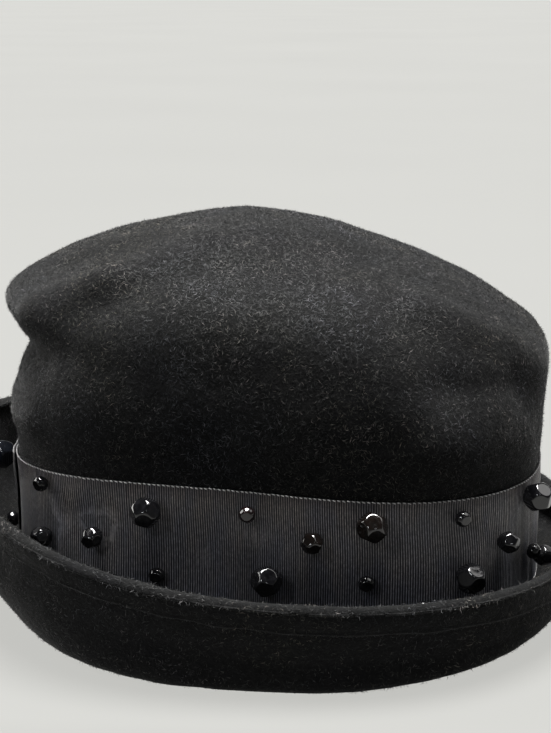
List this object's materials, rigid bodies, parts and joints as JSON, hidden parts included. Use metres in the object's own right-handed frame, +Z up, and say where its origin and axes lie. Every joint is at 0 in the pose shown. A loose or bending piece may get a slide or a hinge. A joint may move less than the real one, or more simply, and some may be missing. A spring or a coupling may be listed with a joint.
{
  "type": "cloche hat",
  "caption": "Soft felt cloche hat: domed crown, rolled-up brim with a turned-over edge, ribbed ribbon band and faceted beads sewn on the band.",
  "frame": {"origin": "centre of the hat's bounding box, on the plane that it rests on", "axes": "+X towards the front of the hat, +Y towards the wearer's left, +Z up through the crown"},
  "size_m": [0.2282, 0.2168, 0.1404],
  "materials": {
    "felt": "short-napped black felt",
    "ribbon": "black cross-ribbed ribbon, slight sheen",
    "bead_glass": "opaque black faceted glass, polished"
  },
  "bodies": {
    "root": {"bead_large_01": "bead_glass", "bead_large_02": "bead_glass", "bead_large_03": "bead_glass", "bead_large_04": "bead_glass", "bead_large_05": "bead_glass", "bead_large_06": "bead_glass", "bead_large_07": "bead_glass", "bead_large_08": "bead_glass", "bead_large_09": "bead_glass", "bead_large_10": "bead_glass", "bead_large_11": "bead_glass", "bead_large_12": "bead_glass", "bead_medium_01": "bead_glass", "bead_medium_02": "bead_glass", "bead_medium_03": "bead_glass", "bead_medium_04": "bead_glass", "bead_medium_05": "bead_glass", "bead_medium_06": "bead_glass", "bead_medium_07": "bead_glass", "bead_medium_08": "bead_glass", "bead_medium_09": "bead_glass", "bead_medium_10": "bead_glass", "bead_medium_11": "bead_glass", "bead_small_01": "bead_glass", "bead_small_02": "bead_glass", "bead_small_03": "bead_glass", "bead_small_04": "bead_glass", "bead_small_05": "bead_glass", "bead_small_06": "bead_glass", "bead_small_07": "bead_glass", "bead_small_08": "bead_glass", "bead_small_09": "bead_glass", "bead_small_10": "bead_glass", "bead_small_11": "bead_glass", "bead_small_12": "bead_glass", "bead_small_13": "bead_glass", "bead_small_14": "bead_glass", "bead_small_15": "bead_glass", "bead_small_16": "bead_glass", "bead_small_17": "bead_glass", "felt_body": "felt", "ribbon_band": "ribbon"}
  },
  "joints": []
}
